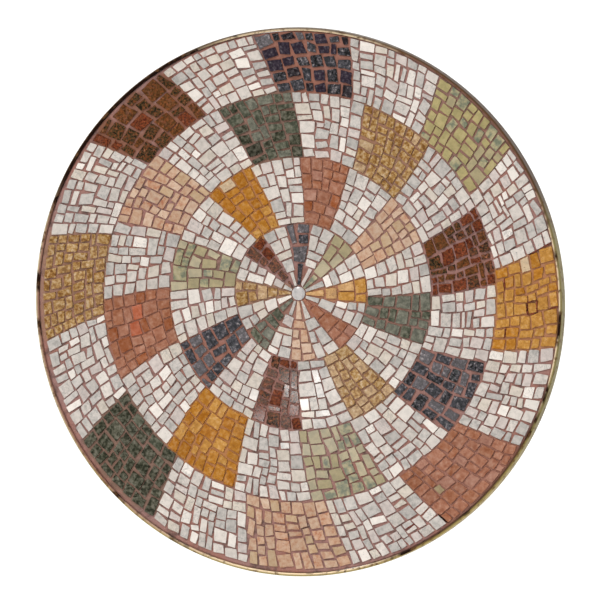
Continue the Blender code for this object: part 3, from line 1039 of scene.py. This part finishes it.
def brass_material():
    """Brass with a painted cream highlight on the inner side of its lip, and olive or grey outside.

    The outer colours, which change by side, are painted reflections. At the lower right the inner
    side is painted dark, and at the foot the outer one is gold. On the left mortar is smeared over
    the inner side and the outer is pale. On the upper left a painted dark reflection blackens all
    but the outer edge, and tarnish blackens short lengths elsewhere too. On the upper right the
    mortar is wiped over it, up to a painted dark rim. A corner is where the height and the way
    across add up, each with its sign, to TOWARDS_CORNER.
    """
    material, tree, shader, place = new_material("tarnished_brass", Metallic=0.3,
                                                 Specular_IOR_Level=BRASS_GLOSS)
    flat = add_node(tree, "ShaderNodeVectorMath", {0: place, 1: (1, 0, 1)}, operation="MULTIPLY")
    radius = add_node(tree, "ShaderNodeVectorMath", {0: flat.outputs[0]}, operation="LENGTH")
    radius = radius.outputs["Value"]
    side = between(tree, radius, BAND_INNER + LIP_SIDE, BAND_OUTER - LIP_SIDE)
    edge = between(tree, radius, BAND_OUTER - EDGE_START, BAND_OUTER - EDGE_FULL)
    across, _, height = add_node(tree, "ShaderNodeSeparateXYZ", {0: place}).outputs
    left = between(tree, work_out(tree, "MULTIPLY", across, -1.0), *TOWARDS_SIDE)
    right = between(tree, across, *TOWARDS_SIDE)
    foot = between(tree, work_out(tree, "MULTIPLY", height, -1.0), *TOWARDS_FOOT)
    lower_right = between(tree, work_out(tree, "SUBTRACT", across, height), *TOWARDS_CORNER)
    upper_left = between(tree, work_out(tree, "SUBTRACT", height, across), *TOWARDS_CORNER)
    upper_right = between(tree, work_out(tree, "ADD", height, across), *TOWARDS_CORNER)

    # Painted light: the cream inner colour is a painted highlight, painted dark at the lower right.
    # The outer colours, changing by side, are painted reflections.
    inner = blend(tree, left, tone(BRASS_PAINTED_HIGHLIGHT), tone(BRASS_PINK))
    inner = blend(tree, lower_right, inner, tone(BRASS_PAINTED_DARK_RIM))
    outer = blend(tree, left, tone(BRASS_GREY), tone(BRASS_PALE))
    outer = blend(tree, right, outer, tone(BRASS_OLIVE))
    outer = blend(tree, foot, outer, tone(BRASS_GOLD))
    colour = blend(tree, side, inner, outer)
    # Tarnish in short lengths, and on the upper left a painted dark reflection; both turn black.
    lengths = between(tree, cloud(tree, place, TARNISH_SIZE), *TARNISH_LEVELS)
    dark = work_out(tree, "MAXIMUM", upper_left, lengths)
    dark = blend(tree, edge, dark, tone((0, 0, 0)))
    colour = blend(tree, dark, colour, tone(BRASS_BLACK))
    # Mortar smeared on the inner side, up to a painted dark rim on the outer side.
    wiped = blend(tree, side, tone(BRASS_SMEARED), tone(BRASS_PAINTED_DARK_RIM))
    colour = blend(tree, upper_right, colour, wiped)
    spots = between(tree, cloud(tree, place, SPOT_SIZE), *SPOT_LEVELS)
    colour = blend(tree, spots, colour, tone(BRASS_BROWN))
    roughness = between(tree, spots, 0.0, 1.0, *BRASS_ROUGH)
    dress(tree, shader, colour, roughness, spots, BRASS_BUMP)
    return material


def add_edge_band():
    """Turned ring: the profile goes out over two rounded lips, down the outside and back."""
    turn = np.linspace(0, np.pi / 2, LIP_STEPS)
    lip = BAND_LIP
    radius = np.concatenate([BAND_INNER + lip - lip * np.cos(turn),
                             BAND_OUTER - lip + lip * np.sin(turn),
                             [BAND_OUTER, BAND_INNER]])
    depth = np.concatenate([BAND_FRONT - lip + lip * np.sin(turn),
                            BAND_FRONT - lip + lip * np.cos(turn),
                            [0.0, 0.0]])
    points = turned_points(radius, depth, BAND_STEPS)
    faces = turned_faces(len(radius), BAND_STEPS, closed=True)
    return fill_mesh("edge_band_bent", points.reshape(-1, 3), [faces], brass_material())


edge_band = add_edge_band()
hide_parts("edge_band")
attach(edge_band, "root")


# Studio
# A pale floor well below the panel, a white surround that is dim in front, a wide soft sun, a
# small lamp for the glare near the foot, and a far camera a little to the right of the front.
FLOOR_HEIGHT = -0.8
FLOOR_REACH = 150.0
CAMERA_SIDE = np.radians(16.8)
CAMERA_RISE = np.radians(2.6)
CAMERA_BACK = np.array([np.sin(CAMERA_SIDE) * np.cos(CAMERA_RISE),
                        -np.cos(CAMERA_SIDE) * np.cos(CAMERA_RISE), np.sin(CAMERA_RISE)])
CAMERA_DISTANCE = 16.0
CAMERA_TARGET = np.array([0.0030, -0.0135, 0.0024])
CAMERA_LENS = 879.2
DIM = 0.1
DIM_FRONT = (-0.8, -0.3)
DIM_BELOW = (0.4, 0.7)
SUN_STRENGTH = 1.6
SUN_SPREAD = np.radians(20)
SUN_TURN = np.radians([50, 0, -25])
GLARE = np.array([GLARE_RIGHT, -STONE_FACE, GLARE_HIGH])
LAMP_DISTANCE = 1.5
LAMP_SIZE = 0.03
LAMP_POWER = 0.08


def add_floor():
    """Flat square far wider than any view, with a faint cloudy tone."""
    corners = np.array([(-1, -1, 0), (1, -1, 0), (1, 1, 0), (-1, 1, 0)]) * FLOOR_REACH
    corners = corners + (0, 0, FLOOR_HEIGHT)
    material, tree, shader, place = new_material("pale_floor", Specular_IOR_Level=0.2)
    faint = cloud(tree, place, 0.5)
    colour = blend(tree, faint, tone((251, 251, 251)), tone((253, 253, 253)))
    dress(tree, shader, colour, between(tree, faint, -2.0, 1.0), faint, 0.0001)
    floor = fill_mesh("floor", corners, [np.array([[0, 1, 2, 3]])], material)
    floor.visible_glossy = False
    return floor


def add_surround():
    """White all round, but dim towards the front, where the panel would mirror it.

    The strength rises from DIM to 1 as the direction turns away from the front, and overhead.
    Seen straight, as the backdrop, it is white everywhere.
    """
    world = bpy.data.worlds.new("white_surround")
    bpy.context.scene.world = world
    world.use_nodes = True
    tree = world.node_tree
    background = tree.nodes["Background"]
    background.inputs["Color"].default_value = (1.0, 1.0, 1.0, 1.0)
    place = add_node(tree, "ShaderNodeTexCoord", {}).outputs["Generated"]
    _, depth, height = add_node(tree, "ShaderNodeSeparateXYZ", {0: place}).outputs
    strength = add_node(tree, "ShaderNodeLightPath", {}).outputs["Is Camera Ray"]
    for turn, levels in ((depth, DIM_FRONT), (height, DIM_BELOW)):
        strength = work_out(tree, "MAXIMUM", strength, between(tree, turn, *levels, DIM, 1.0))
    tree.links.new(strength, background.inputs["Strength"])


def add_sun():
    """Wide soft sun from the upper left of the front."""
    lamp = bpy.data.lights.new("soft_sun", "SUN")
    lamp.energy = SUN_STRENGTH
    lamp.angle = SUN_SPREAD
    sun = bpy.data.objects.new("soft_sun", lamp)
    sun.rotation_euler = SUN_TURN
    bpy.context.scene.collection.objects.link(sun)


def add_small_lamp():
    """Small lamp where the panel mirrors it to the camera at GLARE: x and z change sign."""
    lamp = bpy.data.lights.new("small_lamp", "AREA")
    lamp.shape = "DISK"
    lamp.size = LAMP_SIZE
    lamp.energy = LAMP_POWER
    small_lamp = bpy.data.objects.new("small_lamp", lamp)
    small_lamp.location = GLARE + CAMERA_BACK * (-1, 1, -1) * LAMP_DISTANCE
    small_lamp.rotation_euler = (np.pi / 2 + CAMERA_RISE, 0, -CAMERA_SIDE)
    bpy.context.scene.collection.objects.link(small_lamp)


def add_camera():
    """Camera on a long lens, aimed at the panel's middle from its own distance and angles."""
    lens = bpy.data.cameras.new("camera")
    lens.lens = CAMERA_LENS
    lens.clip_end = 400.0
    camera = bpy.data.objects.new("camera", lens)
    camera.location = CAMERA_TARGET + CAMERA_BACK * CAMERA_DISTANCE
    camera.rotation_euler = (np.pi / 2 - CAMERA_RISE, 0, CAMERA_SIDE)
    bpy.context.scene.collection.objects.link(camera)
    bpy.context.scene.camera = camera


add_floor()
add_surround()
add_sun()
add_small_lamp()
add_camera()
bpy.context.scene.view_settings.view_transform = "Standard"
